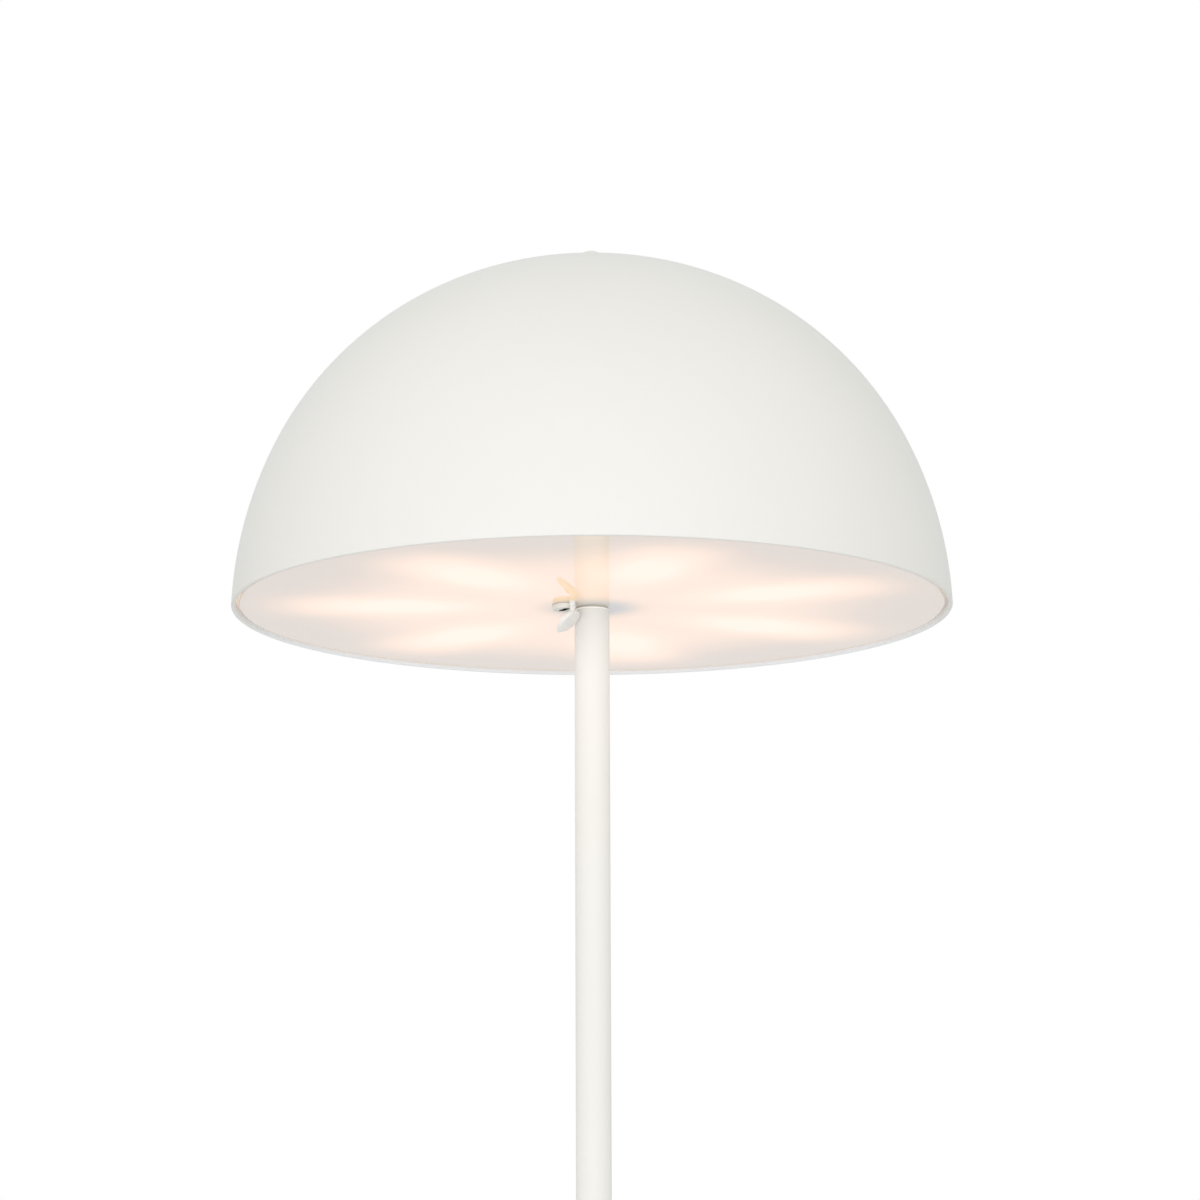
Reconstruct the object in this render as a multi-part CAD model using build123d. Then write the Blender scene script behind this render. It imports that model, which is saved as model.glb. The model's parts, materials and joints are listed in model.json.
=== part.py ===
from build123d import *
import math
import os

# Cordless outdoor floor lamp: a spun dome shade closed by a flat opal diffuser, on a slim pole
# with a weighted round base. Millimetres and degrees. +Z is up, the origin is the middle of the
# base's underside, and the photographed side faces -Y.

# Dome shade: three tangent arcs from the rim to the apex
shade_radius = 186.0
shade_sheet = 1.0
side_radius_share = 1.1214
side_angle = 25.3
shoulder_radius_share = 0.9612
shoulder_angle = 84.1
bulge_drop_share = 0.0425
hem_thickness = 2.4
hem_height = 4.0
hem_chamfer = 0.7
rim_height = 1308.0

# Opal diffuser, almost flush in the rim
diffuser_recess = 1.5
diffuser_thickness = 3.0
diffuser_edge_gap = 1.6
diffuser_edge_chamfer = 0.5

# Pole: equal sections of tube joined by threaded inserts
section_count = 2
pole_radius = 9.0
pole_wall = 1.2
pole_top_chamfer = 0.9
pole_seal_thickness = 0.7
pole_seal_inset = 0.6
insert_length = 26.0
stud_plug_length = 20.0
stud_length = 18.0
stud_hole_depth = 20.0
rod_grip = 23.0

# Threads and fits
rod_radius = 5.0
rod_bore_radius = 3.2
thread_clearance = 0.05
insert_clearance = 0.05
hole_clearance = 0.2
nut_flat = 8.0
nut_height = 5.0
overrun = 2.0

# Base: a thick steel plate on a soft pad
base_radius = 140.0
base_thickness = 10.0
base_chamfer = 1.0
base_pad_thickness = 2.5
base_pad_inset = 4.0
bolt_head_height = 5.6
bolt_recess_radius = 12.0
bolt_recess_depth = 6.0
bolt_grip = 18.0
foot_radius = 14.0
foot_height = 13.0
foot_floor = 3.0
foot_chamfer = 1.2

# Hub over the diffuser, with the electronics
hub_radius = 30.0
hub_wall = 2.0
hub_floor = 2.5
board_height = 24.0
ledge_height = 6.0
ledge_width = 2.0
control_board_thickness = 1.6
control_board_bore = 10.6
component_angles = (0, 100, 170, 250)
board_edge_gap = 0.5

# Seven-armed light board
arm_count = 7
first_arm_angle = 29.0
arm_reach = 162.0
arm_width = 16.0
light_board_thickness = 1.6
light_board_centre = 38.0
chip_size = 3.0
chip_height = 0.7
chip_count = 6
chip_start_margin = 18.0
chip_end_margin = 8.0

# Battery pack round the rod
cell_count = 3
cell_radius = 9.3
cell_length = 65.0
cell_circle = 17.2
first_cell_angle = 90.0
tray_thickness = 3.0
pack_clearance = 0.5
can_wall = 2.0

# Coupler, bush and power button at the apex
crown_washer_thickness = 1.5
coupler_flange_radius = 16.0
coupler_flange = 3.0
coupler_radius = 10.5
coupler_floor = 3.0
coupler_tail = 15.0
bush_radius = 7.6
bush_length = 13.0
bush_flange_radius = 9.5
bush_flange = 2.2
bush_flange_chamfer = 0.7
bush_lip_depth = 4.2
bush_bore_radius = 6.9
button_radius = 5.75
button_proud = 8.9
button_crown_radius = 8.8
button_flange_radius = 6.6
button_flange = 1.2
button_rest_gap = 0.3
button_travel = 1.5
running_clearance = 0.08
membrane_wall = 0.6
membrane_top_radius = 2.6
switch_radius = 6.7
switch_height = 9.0
plunger_radius = 1.2
plunger_height = 1.2
plunger_travel = 0.1
lead_width = 3.0
lead_thickness = 0.6
lead_bend = 4.0
connector_width = 6.0
connector_height = 5.0

# Charging port beside the pole, in the diffuser
port_x = -14.2
port_y = -10.8
port_length = 13.4
port_width = 10.8
port_proud = 3.0
port_edge_chamfer = 0.5
port_barrel_radius = 5.0
port_barrel_end = 2.5
port_seal_thickness = 0.5
port_seal_proud = 0.15
socket_width = 8.9
socket_depth = 3.2
socket_wall = 0.35
socket_setback = 0.3
socket_tongue = 0.7
tongue_setback = 1.5
socket_floor = 2.0

# Rubber cap on its strap, shown open
cap_radius = 6.8
cap_thickness = 2.4
cap_edge_chamfer = 0.5
plug_length = 7.4
plug_width = 1.8
plug_height = 1.1
tab_reach = 8.0
tab_radius = 2.0
tab_angle = -45.0
tab_thickness = 1.4
cap_seat_gap = 0.15
strap_reach = 8.8
strap_angle = -62.0
strap_width = 2.4
strap_thickness = 1.5
strap_gap = 0.3
strap_bend = 0.8
hinge_azimuth = -110.17
hinge_rise = -5.51
cap_open_angle = 43.55
anchor_radius = 1.55
anchor_drop = 2.4
anchor_barb_radius = 2.4
anchor_barb_height = 2.0
anchor_hole_clearance = 0.1

# Levels, from the floor up
base_low = base_pad_thickness
base_top = base_low + base_thickness
pole_low = base_top + foot_floor
diffuser_low = rim_height + diffuser_recess
diffuser_top = diffuser_low + diffuser_thickness
pole_top = diffuser_low - pole_seal_thickness
section_length = (pole_top - pole_low) / section_count
joint_level = pole_low + section_length
hub_floor_top = diffuser_top + hub_floor
control_board_low = hub_floor_top + ledge_height
light_board_low = diffuser_top + board_height
light_board_top = light_board_low + light_board_thickness
cell_low = light_board_top + tray_thickness
can_inside_top = cell_low + cell_length + pack_clearance
can_top = can_inside_top + can_wall

# The middle radii of the first and last chip of an arm
chip_first = light_board_centre + chip_start_margin
chip_last = arm_reach - chip_end_margin

# Centres and radii of the dome's arcs, in its half section (distance from the axis, height)
side_radius = shade_radius * side_radius_share
shoulder_radius = shade_radius * shoulder_radius_share
bulge_drop = shade_radius * bulge_drop_share
side_centre = Vector(shade_radius - side_radius, rim_height - bulge_drop)
side_end = Vector(math.cos(math.radians(side_angle)), math.sin(math.radians(side_angle)))
shoulder_centre = side_centre + side_end * (side_radius - shoulder_radius)
crown_slope = math.tan(math.radians(shoulder_angle))
crown_centre = Vector(0, shoulder_centre.Y - shoulder_centre.X * crown_slope)
crown_radius = shoulder_radius + shoulder_centre.X / math.cos(math.radians(shoulder_angle))
apex = crown_centre.Y + crown_radius
rim_radius = side_centre.X + math.sqrt(side_radius**2 - bulge_drop**2)
diffuser_radius = rim_radius - hem_thickness - diffuser_edge_gap

# Levels at the apex, from the skin down
flange_top = apex - shade_sheet - crown_washer_thickness
bush_low = apex - bush_length
button_flange_top = apex - bush_lip_depth - button_rest_gap
button_low = button_flange_top - button_flange
membrane_height = button_travel + plunger_height + membrane_wall - plunger_travel
switch_top = button_low - membrane_height
switch_low = switch_top - switch_height
rod_top = switch_low - coupler_floor
coupler_low = rod_top - coupler_tail

# The cap's frame when it is shut: x towards the strap, z out of the cap's face
strap_way = Vector(math.cos(math.radians(strap_angle)), math.sin(math.radians(strap_angle)), 0)
cap_drop = port_proud + cap_seat_gap + cap_thickness / 2
port_spot = Vector(port_x, port_y, diffuser_low)
cap_shut = Plane(port_spot - Vector(0, 0, cap_drop), x_dir=strap_way, z_dir=(0, 0, -1))
hinge_spot = cap_shut.origin + strap_way * strap_reach
anchor_x = hinge_spot.X
anchor_y = hinge_spot.Y
hinge_flat = math.cos(math.radians(hinge_rise))
hinge_way = Vector(
    math.cos(math.radians(hinge_azimuth)) * hinge_flat,
    math.sin(math.radians(hinge_azimuth)) * hinge_flat,
    math.sin(math.radians(hinge_rise)),
)
hinge = Axis(hinge_spot, hinge_way)
opened_way = strap_way.rotate(Axis((0, 0, 0), hinge_way), cap_open_angle)

base_up = (Align.CENTER, Align.CENTER, Align.MIN)


def rod(radius, low, high, x=0, y=0):
    """An upright cylinder between two levels."""
    return Pos(x, y, low) * Cylinder(radius, high - low, align=base_up)


def bore(radius, low, high, x=0, y=0):
    """A cylinder that cuts past both levels."""
    return rod(radius, low - overrun, high + overrun, x, y)


def ring(outer, inner, low, high, x=0, y=0):
    """An upright tube or washer between two levels."""
    return rod(outer, low, high, x, y) - bore(inner, low, high, x, y)


def turned(edges):
    """A solid of revolution about the lamp's axis, from its half section."""
    section = make_face(edges)
    return revolve(Plane.XZ * section, Axis.Z)


def hexagon(low, height):
    """The outside of a nut or bolt head round the lamp's axis."""
    corner = nut_flat / math.cos(math.radians(180 / 6))
    return extrude(Pos(0, 0, low) * RegularPolygon(corner, 6), height)


def nut(low):
    """A hexagon nut on the centre rod."""
    return hexagon(low, nut_height) - bore(rod_radius + thread_clearance, low, low + nut_height)


def dome_arcs(inset, low, hole):
    """The side, shoulder and crown arcs, inset from the skin, from a level up to a radius."""
    side = side_radius - inset
    start = math.degrees(math.asin((low - side_centre.Y) / side))
    finish = math.degrees(math.acos(hole / (crown_radius - inset)))
    return [
        CenterArc((side_centre.X, side_centre.Y), side, start, side_angle - start),
        CenterArc(
            (shoulder_centre.X, shoulder_centre.Y),
            shoulder_radius - inset,
            side_angle,
            shoulder_angle - side_angle,
        ),
        CenterArc(
            (0, crown_centre.Y), crown_radius - inset, shoulder_angle, finish - shoulder_angle
        ),
    ]


def crown_arc(inset, inner, outer):
    """A stretch of the crown between two radii, inset from the skin."""
    radius = crown_radius - inset
    start = math.degrees(math.acos(outer / radius))
    finish = math.degrees(math.acos(inner / radius))
    return CenterArc((0, crown_centre.Y), radius, start, finish - start)


def shade_dome():
    """The spun dome, with a hole at its apex and its edge folded in to a thick hem."""
    hole = bush_radius + hole_clearance
    skin = dome_arcs(0, rim_height, hole)
    inside = dome_arcs(shade_sheet, rim_height + hem_height, hole)
    hem_inner = rim_radius - hem_thickness
    closing = [
        Line(skin[-1] @ 1, inside[-1] @ 1),
        Polyline(
            inside[0] @ 0,
            (hem_inner, rim_height + hem_height),
            (hem_inner, rim_height),
            skin[0] @ 0,
        ),
    ]
    section = make_face(skin + inside + closing)
    foot = section.vertices().sort_by(Axis.Y)[:2]
    section = chamfer(foot, hem_chamfer)
    return revolve(Plane.XZ * section, Axis.Z)


def diffuser():
    """The flat opal disc, drilled for the rod, the port and the cap's anchor."""
    disc = rod(diffuser_radius, diffuser_low, diffuser_top)
    disc = chamfer(disc.edges().group_by(Axis.Z)[0], diffuser_edge_chamfer)
    disc -= bore(rod_radius + hole_clearance, diffuser_low, diffuser_top)
    barrel = port_barrel_radius + hole_clearance
    disc -= bore(barrel, diffuser_low, diffuser_top, port_x, port_y)
    anchor = anchor_radius + anchor_hole_clearance
    disc -= bore(anchor, diffuser_low, diffuser_top, anchor_x, anchor_y)
    return disc


def pole_section(number):
    """One length of pole tube, counted from the foot. The top one has a chamfered end."""
    low = pole_low + number * section_length
    high = low + section_length
    tube = ring(pole_radius, pole_radius - pole_wall, low, high)
    if number == section_count - 1:
        rim = tube.edges().group_by(Axis.Z)[-1].sort_by(SortBy.LENGTH)[-1]
        tube = chamfer(rim, pole_top_chamfer)
    return tube


def pole_seal():
    """The dark rubber ring between the pole's end and the diffuser."""
    outer = pole_radius - pole_seal_inset
    return ring(outer, rod_radius + hole_clearance, pole_top, diffuser_low)


def tapped_insert(low, high):
    """A plug inside a pole section's end, tapped right through."""
    outer = pole_radius - pole_wall - insert_clearance
    return ring(outer, rod_radius + thread_clearance, low, high)


def joint_socket(level):
    """The plug with a blind tapped hole in the upper end of the section below a joint."""
    outer = pole_radius - pole_wall - insert_clearance
    plug = rod(outer, level - insert_length, level)
    return plug - rod(rod_radius + thread_clearance, level - stud_hole_depth, level + overrun)


def joint_stud(level):
    """The plug with a stud in the lower end of the section above a joint."""
    outer = pole_radius - pole_wall - insert_clearance
    plug = rod(outer, level, level + stud_plug_length)
    return plug + rod(rod_radius, level - stud_length, level)


def pole_foot():
    """The turned collar that the pole stands in."""
    high = base_top + foot_height
    collar = rod(foot_radius, base_top, high)
    collar = chamfer(collar.edges().group_by(Axis.Z)[-1], foot_chamfer)
    collar -= rod(pole_radius + hole_clearance, pole_low, high + overrun)
    return collar - bore(rod_radius + hole_clearance, base_top, pole_low)


def base_plate():
    """The round steel plate, its upper edge broken, with a recess below for the bolt's head."""
    plate = rod(base_radius, base_low, base_top)
    plate = chamfer(plate.edges().group_by(Axis.Z)[-1], base_chamfer)
    plate -= rod(bolt_recess_radius, base_low - overrun, base_low + bolt_recess_depth)
    return plate - bore(rod_radius + hole_clearance, base_low, base_top)


def base_pad():
    """The soft ring that the lamp stands on."""
    return ring(base_radius - base_pad_inset, bolt_recess_radius, 0, base_low)


def base_bolt():
    """The bolt that holds the plate and the foot to the pole."""
    seat = base_low + bolt_recess_depth
    return hexagon(seat - bolt_head_height, bolt_head_height) + rod(
        rod_radius, seat, pole_low + bolt_grip
    )


def centre_rod():
    """The hollow threaded rod from the pole's head to the coupler, with a slot for the lead."""
    bar = ring(rod_radius, rod_bore_radius, pole_top - rod_grip, rod_top)
    slot_low = lead_level() - lead_thickness - hole_clearance
    slot_high = lead_level() + lead_bend + lead_thickness
    slot = Box(rod_radius, lead_width + 2 * hole_clearance, slot_high - slot_low)
    return bar - Pos(rod_radius, 0, (slot_low + slot_high) / 2) * slot


def lead_level():
    """The level at which the switch's lead leaves the rod, midway up the connector."""
    return control_board_low + control_board_thickness + connector_height / 2


def hub_base():
    """The moulded cup over the diffuser, with a ledge inside for the control board."""
    cup = rod(hub_radius, diffuser_top, light_board_low)
    cup -= rod(hub_radius - hub_wall, control_board_low, light_board_low + overrun)
    cup -= rod(hub_radius - hub_wall - ledge_width, hub_floor_top, control_board_low)
    cup -= bore(rod_radius + hole_clearance, diffuser_top, hub_floor_top)
    barrel = port_barrel_radius + hole_clearance
    cup -= bore(barrel, diffuser_top, hub_floor_top, port_x, port_y)
    anchor = anchor_radius + anchor_hole_clearance
    cup -= bore(anchor, diffuser_top, hub_floor_top, anchor_x, anchor_y)
    return cup


def control_board():
    """The charging and dimming board, with its larger components and the lead's connector."""
    outer = hub_radius - hub_wall - board_edge_gap
    high = control_board_low + control_board_thickness
    board = ring(outer, control_board_bore, control_board_low, high)
    middle = (control_board_bore + outer) / 2
    block = Box(connector_width, connector_width, connector_height, align=base_up)
    for angle in component_angles:
        board += Rot(0, 0, angle) * Pos(middle, 0, high) * block
    return board


def charging_socket():
    """The receptacle just behind the surround's face: a moulded shell with a tongue in it."""
    low = diffuser_low - port_proud + socket_setback
    shell = extrude(SlotOverall(socket_width, socket_depth), control_board_low - low)
    inner = SlotOverall(socket_width - 2 * socket_wall, socket_depth - 2 * socket_wall)
    shell -= Pos(0, 0, -overrun) * extrude(
        inner, control_board_low - low - socket_floor + overrun
    )
    tongue = Pos(0, 0, tongue_setback) * Box(
        socket_width - socket_depth,
        socket_tongue,
        control_board_low - low - tongue_setback,
        align=base_up,
    )
    return Pos(port_x, port_y, low) * Rot(0, 0, strap_angle) * (shell + tongue)


def port_bezel():
    """The oval surround of the charging port with its barrel, slotted for the receptacle."""
    low = diffuser_low - port_proud
    seat = diffuser_low - port_seal_thickness
    high = hub_floor_top + port_barrel_end
    body = Pos(0, 0, low) * extrude(SlotOverall(port_length, port_width), seat - low)
    body = chamfer(body.edges().group_by(Axis.Z)[0], port_edge_chamfer)
    body += rod(port_barrel_radius, seat, high)
    mouth = SlotOverall(socket_width + hole_clearance, socket_depth + hole_clearance)
    body -= Pos(0, 0, low - overrun) * extrude(mouth, high - low + 2 * overrun)
    return Pos(port_x, port_y, 0) * Rot(0, 0, strap_angle) * body


def port_seal():
    """The thin oval seal between the port's surround and the diffuser."""
    low = diffuser_low - port_seal_thickness
    outline = SlotOverall(port_length + 2 * port_seal_proud, port_width + 2 * port_seal_proud)
    seal = Pos(0, 0, low) * extrude(outline, port_seal_thickness)
    seal -= bore(port_barrel_radius + hole_clearance / 2, low, diffuser_low, 0, 0)
    return Pos(port_x, port_y, 0) * Rot(0, 0, strap_angle) * seal


def port_cap():
    """The rubber cap, open: a thick flange, a plug for the slot and a pull tab."""
    flange = Cylinder(cap_radius, cap_thickness)
    flange = chamfer(flange.edges().filter_by(GeomType.CIRCLE), cap_edge_chamfer)
    tab_length = tab_reach - tab_radius
    tab = Pos(-tab_length / 2, 0, 0) * Box(tab_length, 2 * tab_radius, tab_thickness)
    tab += Pos(-tab_length, 0, 0) * Cylinder(tab_radius, tab_thickness)
    plug = extrude(SlotOverall(plug_length, plug_width), plug_height)
    cap = flange + Rot(0, 0, tab_angle) * tab
    cap += Pos(0, 0, -cap_thickness / 2 - plug_height) * plug
    return (cap_shut * cap).rotate(hinge, cap_open_angle)


def cap_anchor():
    """The rubber post through the diffuser and the hub, with a barb above."""
    top = hub_floor_top + anchor_barb_height
    post = rod(anchor_radius, diffuser_low - anchor_drop, hub_floor_top, anchor_x, anchor_y)
    barb = Pos(anchor_x, anchor_y, hub_floor_top) * Cone(
        anchor_barb_radius, anchor_radius, top - hub_floor_top, align=base_up
    )
    return post + barb


def cap_strap():
    """The short flat strap from the post to the open cap's edge."""
    root = Vector(anchor_x, anchor_y, diffuser_low - anchor_drop)
    run = strap_reach - cap_radius - strap_gap
    tip = hinge_spot - opened_way * run
    path = FilletPolyline(root, hinge_spot, tip, radius=strap_bend)
    flat = Vector(opened_way.X, opened_way.Y, 0)
    start = Plane(root, x_dir=flat, z_dir=(0, 0, -1))
    return sweep(start * Rectangle(strap_thickness, strap_width), path)


def light_board():
    """The seven-armed board: a disc with an arm for each row of chips."""
    outline = Circle(light_board_centre)
    for number in range(arm_count):
        turn = Rot(0, 0, first_arm_angle + number * 360 / arm_count)
        outline += turn * Pos(arm_reach / 2, 0, 0) * Rectangle(arm_reach, arm_width)
    outline -= Circle(rod_radius + hole_clearance)
    return Pos(0, 0, light_board_low) * extrude(outline, light_board_thickness)


def light_chips():
    """The light chips in a row under each arm."""
    step = (chip_last - chip_first) / (chip_count - 1)
    chips = []
    for number in range(arm_count):
        turn = Rot(0, 0, first_arm_angle + number * 360 / arm_count)
        for place in range(chip_count):
            spot = Pos(chip_first + place * step, 0, light_board_low - chip_height)
            chips.append(turn * spot * Box(chip_size, chip_size, chip_height, align=base_up))
    return Compound(children=chips)


def cell_spots():
    """The places of the cells round the rod."""
    step = 360 / cell_count
    return [
        Rot(0, 0, first_cell_angle + number * step) * Pos(cell_circle, 0, 0)
        for number in range(cell_count)
    ]


def battery_cells():
    """The cells round the rod."""
    cell = rod(cell_radius, cell_low, cell_low + cell_length)
    return Compound(children=[spot * cell for spot in cell_spots()])


def battery_tray():
    """The insulating ring that the cells stand on."""
    outer = hub_radius - can_wall - board_edge_gap
    return ring(outer, rod_radius + hole_clearance, light_board_top, cell_low)


def battery_can():
    """The cover over the cells, open below, standing on the light board."""
    can = rod(hub_radius, light_board_top, can_top)
    can -= rod(hub_radius - can_wall, light_board_top - overrun, can_inside_top)
    return can - bore(rod_radius + hole_clearance, can_inside_top, can_top)


def crown_washer():
    """The soft washer between the dome's inside and the coupler's flat flange."""
    inner = bush_radius + hole_clearance
    arc = crown_arc(shade_sheet, inner, coupler_flange_radius)
    return turned(
        [
            arc,
            Polyline(arc @ 1, (inner, flange_top), (coupler_flange_radius, flange_top), arc @ 0),
        ]
    )


def shade_coupler():
    """The flanged coupler under the dome: the bush screws into it, and the rod screws up to it."""
    body = rod(coupler_flange_radius, flange_top - coupler_flange, flange_top)
    body += rod(coupler_radius, coupler_low, flange_top - coupler_flange)
    body -= rod(bush_radius + thread_clearance, switch_low, flange_top + overrun)
    body -= rod(rod_radius + thread_clearance, coupler_low - overrun, rod_top)
    return body - bore(lead_width / 2 + hole_clearance, rod_top, switch_low)


def button_bezel():
    """The flanged bush that clamps the dome and guides the button."""
    arc = crown_arc(0, bush_radius, bush_flange_radius)
    top = apex + bush_flange
    guide = button_radius + running_clearance
    lip = apex - bush_lip_depth
    edges = Polyline(
        arc @ 0,
        (bush_flange_radius, top),
        (guide, top),
        (guide, lip),
        (bush_bore_radius, lip),
        (bush_bore_radius, bush_low),
        (bush_radius, bush_low),
        arc @ 1,
    )
    body = turned([arc, edges])
    rim = body.edges().group_by(Axis.Z)[-1].sort_by(SortBy.LENGTH)[-1]
    return chamfer(rim, bush_flange_chamfer)


def power_button():
    """The crowned button, held in by its flange under the bush's lip."""
    edge_angle = math.degrees(math.acos(button_radius / button_crown_radius))
    middle = (0, apex + button_proud - button_crown_radius)
    crown = CenterArc(middle, button_crown_radius, edge_angle, 90 - edge_angle)
    edges = Polyline(
        crown @ 1,
        (0, button_low),
        (button_flange_radius, button_low),
        (button_flange_radius, button_flange_top),
        (button_radius, button_flange_top),
        crown @ 0,
    )
    return turned([crown, edges])


def button_membrane():
    """The silicone dome under the button, a cone between its foot and its crown."""
    foot = button_flange_radius
    top = membrane_top_radius
    return turned(
        [
            Polyline(
                (foot, switch_top),
                (top, button_low),
                (0, button_low),
                (0, button_low - membrane_wall),
                (top - membrane_wall, button_low - membrane_wall),
                (foot - 2 * membrane_wall, switch_top),
                (foot, switch_top),
            )
        ]
    )


def switch_body():
    """The switch in the coupler, with its plunger under the membrane."""
    body = rod(switch_radius, switch_low, switch_top)
    return body + rod(plunger_radius, switch_top, switch_top + plunger_height)


def switch_lead():
    """The switch's flat lead, down the rod and out through its slot to the control board."""
    level = lead_level()
    outer = hub_radius - hub_wall - board_edge_gap
    end = (control_board_bore + outer) / 2 - connector_width / 2
    path = FilletPolyline((0, 0, switch_low), (0, 0, level), (end, 0, level), radius=lead_bend)
    start = Plane((0, 0, switch_low), x_dir=(1, 0, 0), z_dir=(0, 0, -1))
    return sweep(start * Rectangle(lead_thickness, lead_width), path)


nodes = {
    "shade_dome": shade_dome(),
    "diffuser": diffuser(),
    "pole_lower": pole_section(0),
    "pole_upper": pole_section(section_count - 1),
    "foot_insert": tapped_insert(pole_low, pole_low + insert_length),
    "joint_socket": joint_socket(joint_level),
    "joint_stud": joint_stud(joint_level),
    "head_insert": tapped_insert(pole_top - insert_length, pole_top),
    "pole_seal": pole_seal(),
    "pole_foot": pole_foot(),
    "base_plate": base_plate(),
    "base_pad": base_pad(),
    "base_bolt": base_bolt(),
    "centre_rod": centre_rod(),
    "diffuser_nut": nut(hub_floor_top),
    "hub_base": hub_base(),
    "control_board": control_board(),
    "charging_socket": charging_socket(),
    "port_bezel": port_bezel(),
    "port_seal": port_seal(),
    "port_cap": port_cap(),
    "cap_anchor": cap_anchor(),
    "cap_strap": cap_strap(),
    "light_board": light_board(),
    "light_chips": light_chips(),
    "battery_tray": battery_tray(),
    "battery_cells": battery_cells(),
    "battery_can": battery_can(),
    "can_nut": nut(can_top),
    "shade_nut": nut(coupler_low - nut_height),
    "crown_washer": crown_washer(),
    "shade_coupler": shade_coupler(),
    "button_bezel": button_bezel(),
    "power_button": power_button(),
    "button_membrane": button_membrane(),
    "switch_body": switch_body(),
    "switch_lead": switch_lead(),
}

os.makedirs("parts", exist_ok=True)
for name, solid in nodes.items():
    export_step(solid, f"parts/{name}.step")

print("apex of the dome", round(apex, 2), "top of the button", round(apex + button_proud, 2))
print("rim radius", round(rim_radius, 2), "diffuser radius", round(diffuser_radius, 2))
print("hinge at", hinge_spot, "along", hinge_way)
print("opened strap direction", opened_way)
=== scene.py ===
import json
import math

import bmesh
import bpy
from mathutils import Matrix, Vector


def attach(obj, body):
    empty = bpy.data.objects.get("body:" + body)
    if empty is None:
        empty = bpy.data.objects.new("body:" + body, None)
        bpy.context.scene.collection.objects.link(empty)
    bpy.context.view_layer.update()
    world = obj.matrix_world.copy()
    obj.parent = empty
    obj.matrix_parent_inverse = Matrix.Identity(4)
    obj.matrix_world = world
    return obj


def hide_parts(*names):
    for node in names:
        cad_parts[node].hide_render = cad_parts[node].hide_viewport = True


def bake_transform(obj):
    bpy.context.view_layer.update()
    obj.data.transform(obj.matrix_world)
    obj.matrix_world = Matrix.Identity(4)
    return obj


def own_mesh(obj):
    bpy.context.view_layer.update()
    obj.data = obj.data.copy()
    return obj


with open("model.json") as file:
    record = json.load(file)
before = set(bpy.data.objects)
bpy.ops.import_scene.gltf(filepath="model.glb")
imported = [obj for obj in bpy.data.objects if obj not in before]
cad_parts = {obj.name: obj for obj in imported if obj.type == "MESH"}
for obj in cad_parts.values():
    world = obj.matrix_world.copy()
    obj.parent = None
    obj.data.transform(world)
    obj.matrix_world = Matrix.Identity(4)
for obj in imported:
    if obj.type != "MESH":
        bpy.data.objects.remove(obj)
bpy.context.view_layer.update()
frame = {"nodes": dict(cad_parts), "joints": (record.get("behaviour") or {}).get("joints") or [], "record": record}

# Looks of a cordless outdoor floor lamp: a white dome shade closed by a glowing opal disc, on a
# slim pole. Sizes are in millimetres, as in the part's source, and MM turns them into metres.
MM = 0.001

# Dome shade: three tangent arcs from the rim to the apex
SHADE_RADIUS = 186.0
SHADE_SHEET = 1.0
SIDE_RADIUS = SHADE_RADIUS * 1.1214
SIDE_ANGLE = 25.3
SHOULDER_RADIUS = SHADE_RADIUS * 0.9612
SHOULDER_ANGLE = 84.1
BULGE_DROP = SHADE_RADIUS * 0.0425
HEM_THICKNESS = 2.4
HEM_HEIGHT = 4.0
HEM_ROUNDING = 0.8
RIM_HEIGHT = 1308.0

# Diffuser, with the seal between it and the pole
DIFFUSER_RISE = 1.5
DIFFUSER_THICKNESS = 3.0
DIFFUSER_LOW = RIM_HEIGHT + DIFFUSER_RISE
DIFFUSER_TOP = DIFFUSER_LOW + DIFFUSER_THICKNESS
SEAL_RADIUS = 8.4
SEAL_THICKNESS = 0.7
SEAL_ROUNDING = 0.3

# Pole and the collar at its foot
POLE_RADIUS = 9.0
POLE_WALL = 1.2
POLE_BORE = POLE_RADIUS - POLE_WALL
POLE_LOW = 15.5
POLE_TOP = DIFFUSER_LOW - SEAL_THICKNESS
POLE_JOINT = (POLE_LOW + POLE_TOP) / 2
POLE_END_ROUNDING = 0.8
JOINT_ROUNDING = 0.35
ROD_BORE = 5.2
FOOT_RADIUS = 14.0
FOOT_TOP = 25.5
FOOT_ROUNDING = 1.2
FOOT_CLEARANCE = 0.2
FOOT_MOUTH_ROUNDING = 0.3

# Base plate and its pad
BASE_RADIUS = 140.0
BASE_LOW = 2.5
BASE_TOP = 12.5
BASE_ROUNDING = 1.0
BASE_LOW_ROUNDING = 0.4
RECESS_RADIUS = 12.0
RECESS_TOP = 8.5
PAD_RADIUS = 136.0
PAD_ROUNDING = 0.6
PAD_MOUTH_ROUNDING = 0.4

# Button and its bush at the apex
BUSH_RADIUS = 7.6
BUSH_BORE = 6.9
BUSH_CLEARANCE = 0.2
BUSH_FLANGE_RADIUS = 9.5
BUSH_FLANGE = 2.2
BUSH_LENGTH = 13.0
BUSH_LIP = 4.2
BUSH_ROUNDING = 0.7
BUSH_MOUTH_ROUNDING = 0.25
BUTTON_RADIUS = 5.75
BUTTON_CLEARANCE = 0.08
BUTTON_PROUD = 8.9
BUTTON_CROWN = 8.8
BUTTON_ROUNDING = 0.3
BUTTON_FLANGE_RADIUS = 6.6
BUTTON_GAP = 0.3
BUTTON_FLANGE = 1.2
MEMBRANE_HEIGHT = 3.2
MEMBRANE_WALL = 0.6
MEMBRANE_TOP_RADIUS = 2.6
MEMBRANE_ROUNDING = 0.4

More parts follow.
